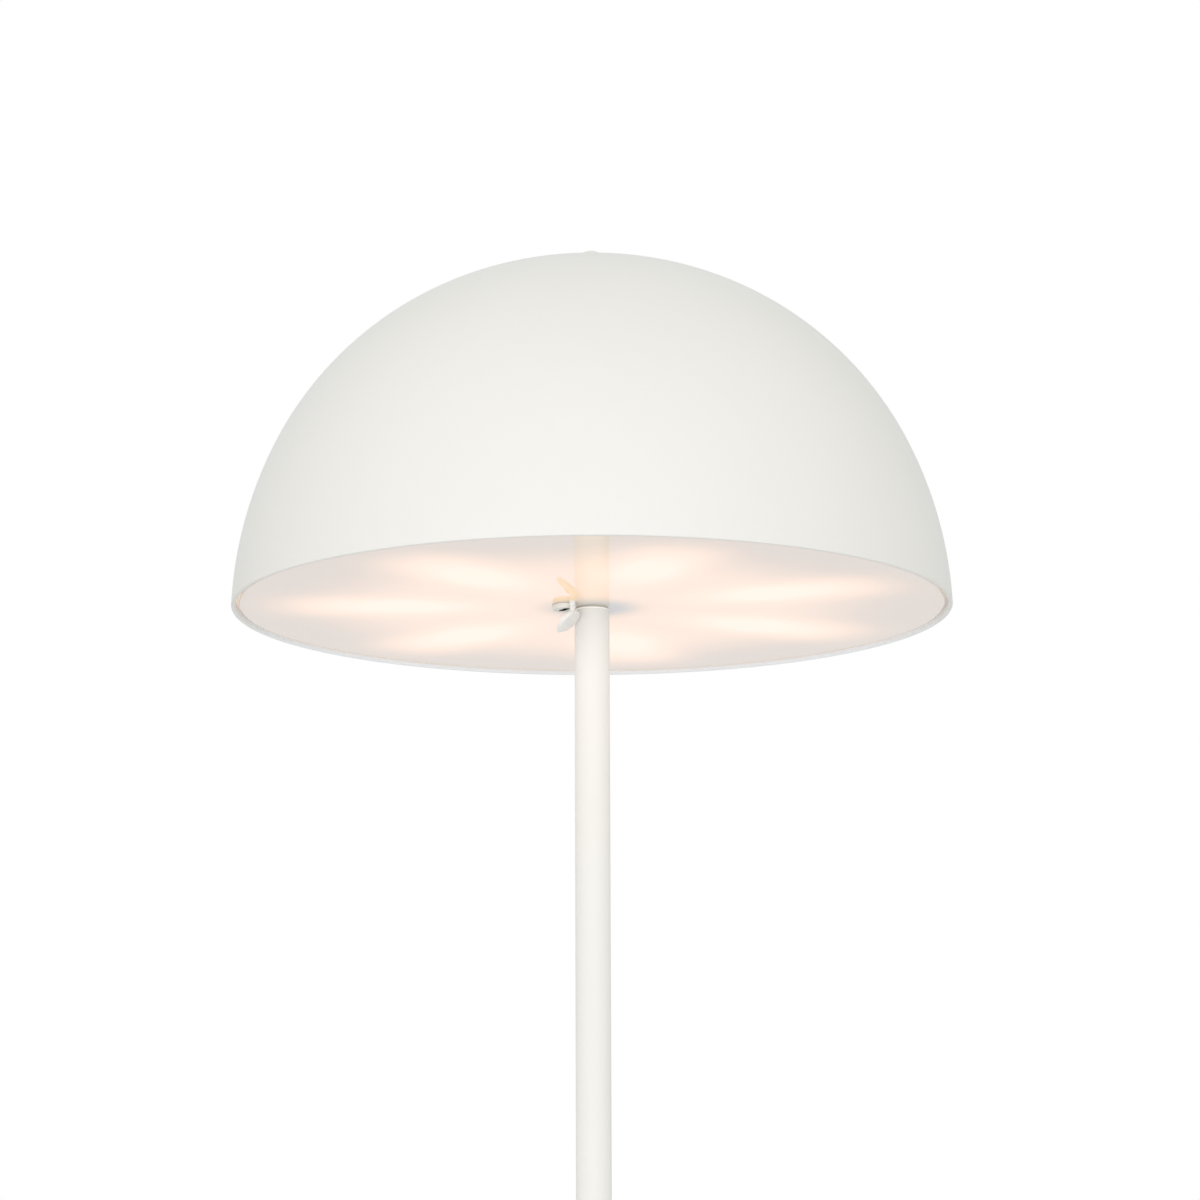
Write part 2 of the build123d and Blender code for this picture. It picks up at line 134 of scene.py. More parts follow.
# Charging port: its surround, its seal and the socket with its tongue. Its two tops are levels
# above the disc's underside.
PORT = Vector((-14.2, -10.8, DIFFUSER_LOW))
PORT_LENGTH = 13.4
PORT_WIDTH = 10.8
PORT_PROUD = 3.0
PORT_ROUNDING = 0.6
PORT_BARREL_RADIUS = 5.0
PORT_BARREL_RISE = 5.0
PORT_BARREL_TOP = DIFFUSER_THICKNESS + PORT_BARREL_RISE
PORT_SEAL = 0.5
PORT_SEAL_PROUD = 0.15
PORT_SEAL_CLEARANCE = 0.1
SOCKET_LENGTH = 8.9
SOCKET_WIDTH = 3.2
SOCKET_GAP = 0.2
SOCKET_SETBACK = 0.3
SOCKET_WALL = 0.35
SOCKET_FLOOR = 2.0
SOCKET_RISE = 8.5
SOCKET_TOP = DIFFUSER_THICKNESS + SOCKET_RISE
MOUTH = (SOCKET_LENGTH + SOCKET_GAP, SOCKET_WIDTH + SOCKET_GAP)
MOUTH_ROUNDING = 0.15
TONGUE = 0.7
TONGUE_SETBACK = 1.5

# Rubber cap with its plug and tab, and the strap that holds it to a post
CAP_RADIUS = 6.8
CAP_THICKNESS = 2.4
CAP_ROUNDING = 0.55
CAP_GAP = 0.15
OPEN_ANGLE = 43.55
PLUG_LENGTH = 7.4
PLUG_WIDTH = 1.8
PLUG_HEIGHT = 1.1
PLUG_OVERLAP = 0.2
TAB_REACH = 8.0
TAB_RADIUS = 2.0
TAB_THICKNESS = 1.4
TAB_ROUNDING = 0.4
TAB_ANGLE = -45.0
STRAP_REACH = 8.8
STRAP_ANGLE = -62.0
STRAP_WIDTH = 2.4
STRAP_THICKNESS = 1.5
STRAP_ROUNDING = 0.45
STRAP_BEND = 0.8
STRAP_ROOT_OVERLAP = 0.4
STRAP_OVERLAP = 0.5
POST_RADIUS = 1.55
POST_DROP = 2.4
POST_RISE = 2.5
POST_ROUNDING = 0.7
BARB_RADIUS = 2.4
BARB_HEIGHT = 2.0

# Sides of round shapes, from the widest to the smallest, and steps along a curve
FINE = 256
ROUND = 96
SMALL = 64
POST_SIDES = 48
CAP_SIDES = 32
SIDE_STEPS = 16
LINING_STEPS = 14
SHOULDER_STEPS = 36
CROWN_STEPS = 4
BUTTON_STEPS = 14
ROUNDING_STEPS = 4
STRAP_ROOT_STEPS = 2
STRAP_BEND_STEPS = 8
STRAP_END_STEPS = 4

# Vertices nearer than this are merged, in a profile and in a solid, in metres
PROFILE_MERGE = 1e-7
MERGE = 1e-6
# Edges that turn by more degrees than this stay sharp
SHARP_ANGLE = 40.0
# Places of a piece's further materials, after its main one, which carry painted light
LINING_PLACE = 1
HEM_PLACE = 2
LIP_PLACE = 1

# The seven lit arms behind the diffuser, in degrees and millimetres. A pair holds the two radii
# between which a light rises or falls, and BACK two places between the front and the back.
ARM_COUNT = 7
FIRST_ARM = 29.0
ARM_WIDTH = 9.0
ARM_SPREAD = 0.125
ARM_EDGE = 2.4
ARM_RISE = (30.0, 110.0)
ARM_FALL = (132.0, 184.0)
ARM_STRENGTH = 0.64
MIDDLE_RISE = (12.0, 36.0)
MIDDLE_FALL = (85.0, 165.0)
MIDDLE_STRENGTH = 0.55
HUB_EDGE = (10.0, 27.0)
BACK = (-60.0, 120.0)

# The dome's arcs: the centre, and where each ends
side_centre = Vector((SHADE_RADIUS - SIDE_RADIUS, RIM_HEIGHT - BULGE_DROP))
side_turn = math.radians(SIDE_ANGLE)
side_end = Vector((math.cos(side_turn), math.sin(side_turn)))
shoulder_centre = side_centre + side_end * (SIDE_RADIUS - SHOULDER_RADIUS)
shoulder_turn = math.radians(SHOULDER_ANGLE)
crown_centre = Vector((0, shoulder_centre.y - shoulder_centre.x * math.tan(shoulder_turn)))
CROWN_RADIUS = SHOULDER_RADIUS + shoulder_centre.x / math.cos(shoulder_turn)
APEX = crown_centre.y + CROWN_RADIUS
HOLE_RADIUS = BUSH_RADIUS + BUSH_CLEARANCE

# Levels of the button's flange, and of the switch under the silicone dome
FLANGE_TOP = APEX - BUSH_LIP - BUTTON_GAP
FLANGE_LOW = FLANGE_TOP - BUTTON_FLANGE
SWITCH_TOP = FLANGE_LOW - MEMBRANE_HEIGHT

# The port's place, turned towards the strap
port_place = Matrix.Translation(PORT * MM) @ Matrix.Rotation(math.radians(STRAP_ANGLE), 4, "Z")

# The hinge of the cap: its strap's root, below the post
down = Vector((0, 0, -1))
strap_way = Vector((math.cos(math.radians(STRAP_ANGLE)), math.sin(math.radians(STRAP_ANGLE)), 0))
cap_middle = PORT - Vector((0, 0, PORT_PROUD + CAP_GAP + CAP_THICKNESS / 2))
hinge_spot = cap_middle + strap_way * STRAP_REACH
hinge_joint = next(joint for joint in frame["joints"] if joint["name"] == "cap_swing")
hinge_way = Vector(hinge_joint["axis"]).normalized()
opening = (
    Matrix.Translation(hinge_spot * MM)
    @ Matrix.Rotation(math.radians(OPEN_ANGLE), 4, hinge_way)
    @ Matrix.Translation(-hinge_spot * MM)
)
opened_way = (opening.to_3x3() @ strap_way).normalized()


# Node trees

# The colour sockets of a Mix node, by number, because its sockets share their names
MIX_FIRST = 6
MIX_SECOND = 7
MIX_RESULT = 2


class Tree:
    """Adds nodes to a material, a world or a group, and joins them."""

    def __init__(self, tree):
        self.tree = tree

    def put(self, socket, value):
        """Joins a socket to another, or gives it a plain value."""
        if isinstance(value, bpy.types.NodeSocket):
            self.tree.links.new(value, socket)
        else:
            socket.default_value = value

    def add(self, kind, inputs=None, **settings):
        """A new node with its settings and inputs."""
        node = self.tree.nodes.new(kind)
        for name, value in settings.items():
            setattr(node, name, value)
        for name, value in (inputs or {}).items():
            self.put(node.inputs[name], value)
        return node

    def math(self, operation, *values, clamp=False):
        """The result of a Math node."""
        node = self.add("ShaderNodeMath", operation=operation, use_clamp=clamp)
        for socket, value in zip(node.inputs, values):
            self.put(socket, value)
        return node.outputs[0]

    def ramp(self, value, low, high, to_low=0.0, to_high=1.0, kind="SMOOTHSTEP"):
        """A value that goes from one number to another while its input goes from low to high."""
        node = self.add("ShaderNodeMapRange", interpolation_type=kind)
        for name, number in zip(
            ("Value", "From Min", "From Max", "To Min", "To Max"),
            (value, low, high, to_low, to_high),
        ):
            self.put(node.inputs[name], number)
        return node.outputs["Result"]

    def mix(self, factor, first, second, blend="MIX"):
        """A colour mixed from two."""
        node = self.add("ShaderNodeMix", data_type="RGBA", blend_type=blend)
        self.put(node.inputs["Factor"], factor)
        self.put(node.inputs[MIX_FIRST], first)
        self.put(node.inputs[MIX_SECOND], second)
        return node.outputs[MIX_RESULT]

    def mix_shaders(self, factor, first, second):
        """A shader mixed from two."""
        return self.add("ShaderNodeMixShader", {0: factor, 1: first, 2: second}).outputs["Shader"]

    def noise(self, vector, scale, detail, roughness):
        """A soft random pattern."""
        inputs = {"Vector": vector, "Scale": scale, "Detail": detail, "Roughness": roughness}
        return self.add("ShaderNodeTexNoise", inputs).outputs["Fac"]

    def bump(self, height, depth):
        """A normal that follows a height. depth is in metres."""
        inputs = {"Strength": 1.0, "Distance": depth, "Height": height}
        return self.add("ShaderNodeBump", inputs).outputs["Normal"]

    def radius(self, across, along):
        """The distance from the lamp's axis."""
        squares = [self.math("POWER", length, 2.0) for length in (across, along)]
        return self.math("SQRT", self.math("ADD", *squares))

    def rays(self):
        """What kind of ray meets the surface."""
        return self.add("ShaderNodeLightPath").outputs

    def emission(self, color, strength=1.0):
        """A shader that glows."""
        return self.add("ShaderNodeEmission", {"Color": color, "Strength": strength}).outputs["Emission"]


def start_tree(owner):
    """The empty node tree of a material or a world."""
    owner.use_nodes = True
    owner.node_tree.nodes.clear()
    return Tree(owner.node_tree)


def new_group(name, inputs, outputs):
    """A shader node group with named sockets. Returns the group, its tree and its two ends."""
    group = bpy.data.node_groups.new(name, "ShaderNodeTree")
    for label, kind, value in inputs:
        socket = group.interface.new_socket(label, in_out="INPUT", socket_type=kind)
        if value is not None:
            socket.default_value = value
    for label, kind in outputs:
        group.interface.new_socket(label, in_out="OUTPUT", socket_type=kind)
    tree = Tree(group)
    return group, tree, tree.add("NodeGroupInput").outputs, tree.add("NodeGroupOutput").inputs


# Shares of the patterns in the grain's height and in its mask, and the range of a noise
CELL_HEIGHT = 0.5
GRAIN_HEIGHT = 0.7
GRAIN_SHARE = 0.35
MOTTLE_SHARE = 0.65
NOISE_RANGE = (0.3, 0.7)


def make_grain_group():
    """Fine grain and a slow mottle: a colour between two, a roughness between two, a normal."""
    group, tree, given, result = new_group(
        "moulded_grain",
        [
            ("Vector", "NodeSocketVector", None),
            ("Color", "NodeSocketColor", (0.8, 0.8, 0.8, 1)),
            ("Second Color", "NodeSocketColor", (0.7, 0.7, 0.7, 1)),
            ("Roughness Low", "NodeSocketFloat", 0.4),
            ("Roughness High", "NodeSocketFloat", 0.5),
            ("Grain Scale", "NodeSocketFloat", 1200.0),
            ("Grain Depth", "NodeSocketFloat", 0.00003),
            ("Mottle Scale", "NodeSocketFloat", 12.0),
        ],
        [
            ("Color", "NodeSocketColor"),
            ("Roughness", "NodeSocketFloat"),
            ("Normal", "NodeSocketVector"),
        ],
    )
    grain = tree.noise(given["Vector"], given["Grain Scale"], detail=3.0, roughness=0.6)
    cells = tree.add(
        "ShaderNodeTexVoronoi",
        {"Vector": given["Vector"], "Scale": given["Grain Scale"], "Smoothness": 0.7},
        feature="SMOOTH_F1",
    ).outputs["Distance"]
    height = tree.math("MULTIPLY_ADD", cells, CELL_HEIGHT, tree.math("MULTIPLY", grain, GRAIN_HEIGHT))
    mottle = tree.noise(given["Vector"], given["Mottle Scale"], detail=4.0, roughness=0.55)
    shade = tree.math("MULTIPLY_ADD", grain, GRAIN_SHARE, tree.math("MULTIPLY", mottle, MOTTLE_SHARE))
    mask = tree.ramp(shade, *NOISE_RANGE)
    rough = tree.ramp(mask, 0.0, 1.0, given["Roughness Low"], given["Roughness High"], "LINEAR")
    tree.put(result["Color"], tree.mix(mask, given["Color"], given["Second Color"]))
    tree.put(result["Roughness"], rough)
    tree.put(result["Normal"], tree.bump(height, given["Grain Depth"]))
    return group


def make_arm_glow_group():
    """Masks of the lit arms behind the opal disc: a soft streak on each with the glow between
    them, the arms alone, the shadow of the hub, and the back half. The last three also place
    painted light on the coat. It reads the lamp's own coordinates, in metres."""
    group, tree, given, result = new_group(
        "arm_glow",
        [("Vector", "NodeSocketVector", None)],
        [
            ("Glow", "NodeSocketFloat"),
            ("Arm", "NodeSocketFloat"),
            ("Hub", "NodeSocketFloat"),
            ("Back", "NodeSocketFloat"),
        ],
    )
    parts = tree.add("ShaderNodeSeparateXYZ", {"Vector": given["Vector"]}).outputs
    across = tree.math("MULTIPLY", parts["X"], 1 / MM)
    along = tree.math("MULTIPLY", parts["Y"], 1 / MM)
    radius = tree.radius(across, along)
    # How far round its own sector a place is, from -0.5 to 0.5, with the arm in the middle
    sector = 2 * math.pi / ARM_COUNT
    first = 0.5 - math.radians(FIRST_ARM) / sector + ARM_COUNT
    turned_by = tree.math("MULTIPLY_ADD", tree.math("ARCTAN2", along, across), 1 / sector, first)
    offset = tree.math("SUBTRACT", tree.math("FRACT", turned_by), 0.5)
    sine = tree.math("SINE", tree.math("MULTIPLY", offset, sector))
    side = tree.math("ABSOLUTE", tree.math("MULTIPLY", radius, sine))
    width = tree.math("MULTIPLY_ADD", radius, ARM_SPREAD, ARM_WIDTH)
    fall = tree.math("POWER", tree.math("DIVIDE", side, width), ARM_EDGE)
    streak = tree.math("EXPONENT", tree.math("MULTIPLY", fall, -1.0))
    rise = tree.ramp(radius, *ARM_RISE, 0.0, ARM_STRENGTH)
    along_arm = tree.math("MULTIPLY", rise, tree.ramp(radius, *ARM_FALL, 1.0, 0.0))
    rise = tree.ramp(radius, *MIDDLE_RISE, 0.0, MIDDLE_STRENGTH)
    between = tree.math("MULTIPLY", rise, tree.ramp(radius, *MIDDLE_FALL, 1.0, 0.0))
    tree.put(result["Glow"], tree.math("MULTIPLY_ADD", streak, along_arm, between, clamp=True))
    tree.put(result["Arm"], streak)
    tree.put(result["Hub"], tree.ramp(radius, *HUB_EDGE, 1.0, 0.0))
    tree.put(result["Back"], tree.ramp(along, *BACK))
    return group


def make_turning_group():
    """Fine rings left by a lathe round the lamp's axis, as a mask, a roughness and a normal."""
    group, tree, given, result = new_group(
        "turning_marks",
        [
            ("Vector", "NodeSocketVector", None),
            ("Ring Scale", "NodeSocketFloat", 900.0),
            ("Ring Depth", "NodeSocketFloat", 0.00001),
            ("Roughness Low", "NodeSocketFloat", 0.25),
            ("Roughness High", "NodeSocketFloat", 0.45),
        ],
        [("Mask", "NodeSocketFloat"), ("Roughness", "NodeSocketFloat"), ("Normal", "NodeSocketVector")],
    )
    parts = tree.add("ShaderNodeSeparateXYZ", {"Vector": given["Vector"]}).outputs
    radius = tree.radius(parts["X"], parts["Y"])
    place = tree.add("ShaderNodeCombineXYZ", {"X": radius, "Z": parts["Z"]}).outputs["Vector"]
    rings = tree.noise(place, given["Ring Scale"], detail=2.0, roughness=0.7)
    rough = tree.ramp(rings, *NOISE_RANGE, given["Roughness Low"], given["Roughness High"], "LINEAR")
    tree.put(result["Mask"], rings)
    tree.put(result["Roughness"], rough)
    tree.put(result["Normal"], tree.bump(rings, given["Ring Depth"]))
    return group


grain_group = make_grain_group()
glow_group = make_arm_glow_group()
turning_group = make_turning_group()


# Materials

def new_material(name, **values):
    """A material with its Principled shader, whose even values are set on its own sockets."""
    material = bpy.data.materials.new(name)
    tree = start_tree(material)
    shader = tree.add("ShaderNodeBsdfPrincipled")
    for label, value in values.items():
        shader.inputs[label.replace("_", " ")].default_value = value
    tree.add("ShaderNodeOutputMaterial", {"Surface": shader.outputs["BSDF"]})
    place = tree.add("ShaderNodeTexCoord").outputs["Object"]
    return material, tree, shader.inputs, place


def add_group(tree, group, **inputs):
    """Places a group with its inputs, and returns its outputs."""
    node = tree.add("ShaderNodeGroup", node_tree=group)
    for label, value in inputs.items():
        tree.put(node.inputs[label.replace("_", " ")], value)
    return node.outputs


def add_grain(tree, place, color, second, rough, scale, depth, mottle):
    """Grain between two colours and two roughnesses. depth is in metres, and a scale is how often
    the grain or the mottle repeats in a metre."""
    return add_group(
        tree, grain_group, Vector=place, Color=(*color, 1), Second_Color=(*second, 1),
        Roughness_Low=rough[0], Roughness_High=rough[1],
        Grain_Scale=scale, Grain_Depth=depth, Mottle_Scale=mottle,
    )


def dress(tree, shader, color, marks):
    """Gives a shader its colour, and the roughness and normal that a group puts out."""
    tree.put(shader["Base Color"], color)
    tree.put(shader["Roughness"], marks["Roughness"])
    tree.put(shader["Normal"], marks["Normal"])


def grained_material(name, color, second, rough, scale, depth, mottle, mirrored=None, **values):
    """A material from the grain group. mirrored is a painted light: the colour that glossy surfaces
    mirror, standing in for the disc's warm glow falling on the piece.
    """
    material, tree, shader, place = new_material(name, **values)
    grain = add_grain(tree, place, color, second, rough, scale, depth, mottle)
    seen = grain["Color"]
    # Painted light, seen only in reflections
    if mirrored:
        seen = tree.mix(tree.rays()["Is Glossy Ray"], seen, (*mirrored, 1))
    dress(tree, shader, seen, grain)
    return material


# Powder coat of the shade, the pole and the base
COAT = {
    "color": (0.875, 0.868, 0.831), "second": (0.862, 0.856, 0.819), "rough": (0.52, 0.62),
    "scale": 1500.0, "depth": 0.00003, "mottle": 9.0,
}

# The opal disc, with the colours of the light that is seen in it and of the light that it casts
OPAL = {
    "color": (0.78, 0.70, 0.665), "second": (0.77, 0.69, 0.66), "rough": (0.03, 0.06),
    "scale": 90.0, "depth": 0.000001, "mottle": 9.0,
}
# OPAL's colour holds painted warm light from the arms; the disc keeps its plain colour in the hub's shade
OPAL_IN_HUB_SHADE = (0.69, 0.70, 0.71, 1)
DARK_LIGHT = (0.122, 0.086, 0.038, 1)
HUB_LIGHT = (0.035, 0.014, 0, 1)
EDGE_LIGHT = (0.56, 0.312, 0.115, 1)
ARM_LIGHT = (0.56, 0.312, 0.198, 1)
CAST_LOW = (0.24, 0.228, 0.212, 1)
CAST_HIGH = (0.66, 0.62, 0.575, 1)


def make_opal():
    """The glossy opal disc, lit from behind along seven arms. Its colour is warmed by painted light from
    the arms and stays plain where the hub shades it. It casts a plainer light than the one that is
    seen in it."""
    material, tree, shader, place = new_material("opal_acrylic", IOR=1.49, Emission_Strength=1.0)
    glow = add_group(tree, glow_group, Vector=place)
    grain = add_grain(tree, place, **OPAL)
    # Painted light: the disc's colour is warm outside the hub's shadow and plain within it
    dress(tree, shader, tree.mix(glow["Hub"], grain["Color"], OPAL_IN_HUB_SHADE), grain)
    dark = tree.mix(glow["Hub"], DARK_LIGHT, HUB_LIGHT)
    warm = tree.mix(glow["Glow"], EDGE_LIGHT, ARM_LIGHT)
    lit = tree.mix(glow["Glow"], dark, warm)
    cast = tree.mix(glow["Glow"], CAST_LOW, CAST_HIGH)
    tree.put(shader["Emission Color"], tree.mix(tree.rays()["Is Diffuse Ray"], lit, cast))
    return material


def make_painted_light_coat(name, mask, low, high, mirrored=True):
    """The coat near the lit disc, with painted light: a faint glow, standing in for the lamp's light
    falling on it, that follows a mask from a low to a high colour. Where mirrored is off, glossy
    surfaces don't mirror the glow."""
    material, tree, shader, place = new_material(name, Emission_Strength=1.0)
    grain = add_grain(tree, place, **COAT)
    glow = add_group(tree, glow_group, Vector=place)
    dress(tree, shader, grain["Color"], grain)
    lit = tree.mix(glow[mask], (*low, 1), (*high, 1))
    if not mirrored:
        lit = tree.mix(tree.rays()["Is Glossy Ray"], lit, (0, 0, 0, 1))
    tree.put(shader["Emission Color"], lit)
    return material


def make_steel():
    """Zinc-plated steel of the turned fittings."""
    material, tree, shader, place = new_material("zinc_steel", Metallic=1.0)
    marks = add_group(tree, turning_group, Vector=place, Ring_Scale=1500.0)
    dull = (0.60, 0.61, 0.63, 1)
    bright = (0.70, 0.70, 0.69, 1)
    dress(tree, shader, tree.mix(marks["Mask"], dull, bright), marks)
    return material


def make_circuit_board():
    """Green solder mask over straight copper tracks."""
    material, tree, shader, place = new_material("circuit_board", Coat_Weight=0.3, Coat_Roughness=0.2)
    tracks = tree.add(
        "ShaderNodeTexBrick",
        {
            "Vector": place, "Color1": (0.02, 0.16, 0.07, 1), "Color2": (0.03, 0.22, 0.10, 1),
            "Mortar": (0.08, 0.34, 0.16, 1), "Scale": 300.0, "Mortar Size": 0.06, "Brick Width": 1.6,
        },
    )
    grain = add_grain(
        tree, place, color=(1, 1, 1), second=(0.85, 0.9, 0.85), rough=(0.3, 0.45),
        scale=1500.0, depth=0.00001, mottle=12.0,
    )
    dress(tree, shader, tree.mix(1.0, tracks.outputs["Color"], grain["Color"], "MULTIPLY"), grain)
    return material


def make_light_chip():
    """The phosphor of the light chips: pale yellow and glowing, a little uneven."""
    material, tree, shader, place = new_material("light_chip", Emission_Strength=1.0)
    grain = add_grain(
        tree, place, color=(0.93, 0.80, 0.36), second=(0.95, 0.86, 0.50), rough=(0.25, 0.4),
        scale=2500.0, depth=0.00001, mottle=400.0,
    )
    dress(tree, shader, grain["Color"], grain)
    glow_color = (1.0, 0.82, 0.55, 1)
    tree.put(shader["Emission Color"], tree.mix(0.5, grain["Color"], glow_color))
    return material


# Painted light: a glow on the shade's lining along the arms, on the hem's back half, and a painted highlight on
# the pole's top edge
painted_light_lining = make_painted_light_coat("painted_light_lining", "Arm", low=(0.09, 0.10, 0.14), high=(0.36, 0.26, 0.19))
painted_light_hem = make_painted_light_coat("painted_light_hem", "Back", low=(0, 0, 0), high=(0.07, 0.09, 0.13))
painted_highlight_lip = make_painted_light_coat("painted_highlight_lip", "Hub", low=(0, 0, 0), high=(0.22, 0.215, 0.20), mirrored=False)
materials = {
    "coat": grained_material("powder_coat", **COAT, Specular_IOR_Level=0.35),
    "opal": make_opal(),
    "seal_rubber": grained_material(
        "seal_rubber", color=(0.60, 0.545, 0.47), second=(0.56, 0.505, 0.43), rough=(0.6, 0.75),
        scale=1800.0, depth=0.00002, mottle=40.0,
    ),
    # The cap mirrors a painted warm light, the disc's glow falling on it
    "cap_rubber": grained_material(
        "cap_rubber", color=(0.93, 0.91, 0.885), second=(0.905, 0.885, 0.86), rough=(0.45, 0.6),
        scale=2200.0, depth=0.000012, mottle=90.0, mirrored=(0.76, 0.66, 0.36),
        Subsurface_Weight=0.15, Subsurface_Scale=0.002,
    ),
    # The port's surround mirrors a painted warm light, the disc's glow falling on it
    "port_plastic": grained_material(
        "port_plastic", color=(0.87, 0.855, 0.80), second=(0.84, 0.825, 0.77), rough=(0.35, 0.5),
        scale=2200.0, depth=0.00001, mottle=90.0, mirrored=(0.72, 0.62, 0.34),
    ),
    # Near-black: partly the socket's own dark plastic, partly painted shade of the deep slot
    "socket_plastic": grained_material(
        "socket_plastic", color=(0.012, 0.011, 0.011), second=(0.02, 0.019, 0.018), rough=(0.4, 0.55),
        scale=2000.0, depth=0.00001, mottle=90.0,
    ),
    "zinc_steel": make_steel(),
    "housing_plastic": grained_material(
        "housing_plastic", color=(0.80, 0.80, 0.775), second=(0.76, 0.76, 0.735), rough=(0.5, 0.65),
        scale=1400.0, depth=0.00003, mottle=20.0,
    ),
    "circuit_board": make_circuit_board(),
    "board_metal": grained_material(
        "board_lacquer", color=(0.84, 0.84, 0.83), second=(0.80, 0.80, 0.79), rough=(0.3, 0.42),
        scale=1500.0, depth=0.00001, mottle=25.0,
    ),
    "light_chip": make_light_chip(),
    "cell_wrap": grained_material(
        "cell_wrap", color=(0.05, 0.16, 0.36), second=(0.07, 0.21, 0.44), rough=(0.28, 0.4),
        scale=700.0, depth=0.00001, mottle=30.0, Coat_Weight=0.4, Coat_Roughness=0.15,
    ),
    "silicone": grained_material(
        "silicone", color=(0.78, 0.78, 0.77), second=(0.72, 0.72, 0.71), rough=(0.35, 0.5),
        scale=1800.0, depth=0.00001, mottle=90.0, Subsurface_Weight=0.2, Subsurface_Scale=0.002,
    ),
    "switch_plastic": grained_material(
        "switch_plastic", color=(0.03, 0.03, 0.033), second=(0.05, 0.05, 0.052), rough=(0.35, 0.5),
        scale=2000.0, depth=0.00001, mottle=60.0,
    ),
}
for part in frame["record"]["subparts"]:
    node = frame["nodes"][part["node"]]
    node.data.materials.clear()
    node.data.materials.append(materials[part["material_slot"]])


# Shapes

def start_profile(radius, level):
    """A new mesh with the first point of a profile: a radius and a level, in millimetres."""
    bm = bmesh.new()
    return bm, bm.verts.new((radius * MM, 0, level * MM))


def line_to(bm, end, radius, level):
    """Draws the profile on to a point, and returns its vertex."""
    end = bmesh.ops.extrude_vert_indiv(bm, verts=[end])["verts"][0]
    end.co = (radius * MM, 0, level * MM)
    return end


def arc_on(bm, end, centre, turn, steps):
    """Draws the profile on round a centre by an angle, and returns the last vertex."""
    out = bmesh.ops.spin(
        bm, geom=[end], cent=(centre[0] * MM, 0, centre[1] * MM), axis=(0, -1, 0),
        angle=math.radians(turn), steps=steps,
    )
    return out["geom_last"][0]


def round_off(bm, corners, rounding, affect="VERTICES"):
    """Rounds corners of an outline, or with EDGES the edges of a solid."""
    bmesh.ops.bevel(
        bm, geom=corners, offset=rounding * MM, offset_type="OFFSET", segments=ROUNDING_STEPS,
        profile=0.5, affect=affect, material=-1,
    )


def spin_profile(bm, steps, spot=(0, 0)):
    """Turns the profile round an upright axis through a spot, in millimetres."""
    bmesh.ops.remove_doubles(bm, verts=bm.verts, dist=PROFILE_MERGE)
    bmesh.ops.translate(bm, verts=bm.verts, vec=(spot[0] * MM, spot[1] * MM, 0))
    bmesh.ops.spin(
        bm, geom=bm.verts[:] + bm.edges[:], cent=(spot[0] * MM, spot[1] * MM, 0), axis=(0, 0, 1),
        angle=2 * math.pi, steps=steps, use_merge=True,
    )
    bmesh.ops.remove_doubles(bm, verts=bm.verts, dist=MERGE)


def turned(corners, rounding, steps, spot=(0, 0)):
    """A turned solid from its profile's corners. rounding holds a radius by corner number."""
    bm, end = start_profile(*corners[0])
    points = [end]
    for radius, level in corners[1:]:
        points.append(line_to(bm, points[-1], radius, level))
    if corners[0][0] > 0 or corners[-1][0] > 0:
        bm.edges.new((points[-1], points[0]))
    for number, radius in rounding.items():
        round_off(bm, [points[number]], radius)
    spin_profile(bm, steps, spot)
    return bm


def circle_ring(bm, radius, level, segments=SMALL):
    """A closed circle of vertices, in their order."""
    return bmesh.ops.create_circle(
        bm, cap_ends=False, segments=segments, radius=radius * MM,
        matrix=Matrix.Translation((0, 0, level * MM)),
    )["verts"]


def slot_ring(bm, length, width, level, segments=SMALL):
    """A closed ring of vertices in the shape of a slot, in their order."""
    ring = circle_ring(bm, width / 2, level, segments)
    for vert in ring:
        if abs(vert.co.x) > MERGE:
            vert.co.x += math.copysign((length - width) / 2 * MM, vert.co.x)
    return ring


def ring_edges(bm, *rings):
    """The edges between the vertices of each ring."""
    members = [set(ring) for ring in rings]
    return [edge for edge in bm.edges if any(set(edge.verts) <= ring for ring in members)]


def bridge(bm, *rings):
    """Walls from each ring of vertices to the next, vertex by vertex in the rings' order."""
    for first, second in zip(rings, rings[1:]):
        for number in range(len(first)):
            bm.faces.new((first[number - 1], first[number], second[number], second[number - 1]))


def slot_block(bm, length, width, low, high):
    """A closed block in the shape of a slot, between two levels. Returns its two rings."""
    rings = [slot_ring(bm, length, width, level, CAP_SIDES) for level in (low, high)]
    bridge(bm, *rings)
    for ring in rings:
        bm.faces.new(ring)
    return rings


def is_outside(spot, radius):
    """Says whether a spot lies farther from the lamp's axis than a radius."""
    return math.hypot(spot.x, spot.y) > radius


def finish_piece(bm, name, slot_name, body, node_name):
    """Makes a piece of the mesh, which rides on a body, if given, and stands for a CAD node."""
    bmesh.ops.remove_doubles(bm, verts=bm.verts, dist=MERGE)
    bmesh.ops.recalc_face_normals(bm, faces=bm.faces)
    for face in bm.faces:
        face.smooth = True
    for edge in bm.edges:
        if len(edge.link_faces) == 2 and edge.calc_face_angle() > math.radians(SHARP_ANGLE):
            edge.smooth = False
    mesh = bpy.data.meshes.new(name)
    bm.to_mesh(mesh)
    bm.free()
    mesh.materials.append(materials[slot_name])
    piece = bpy.data.objects.new(name, mesh)
    bpy.context.scene.collection.objects.link(piece)
    if body:
        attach(piece, body)
    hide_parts(node_name)
    return piece


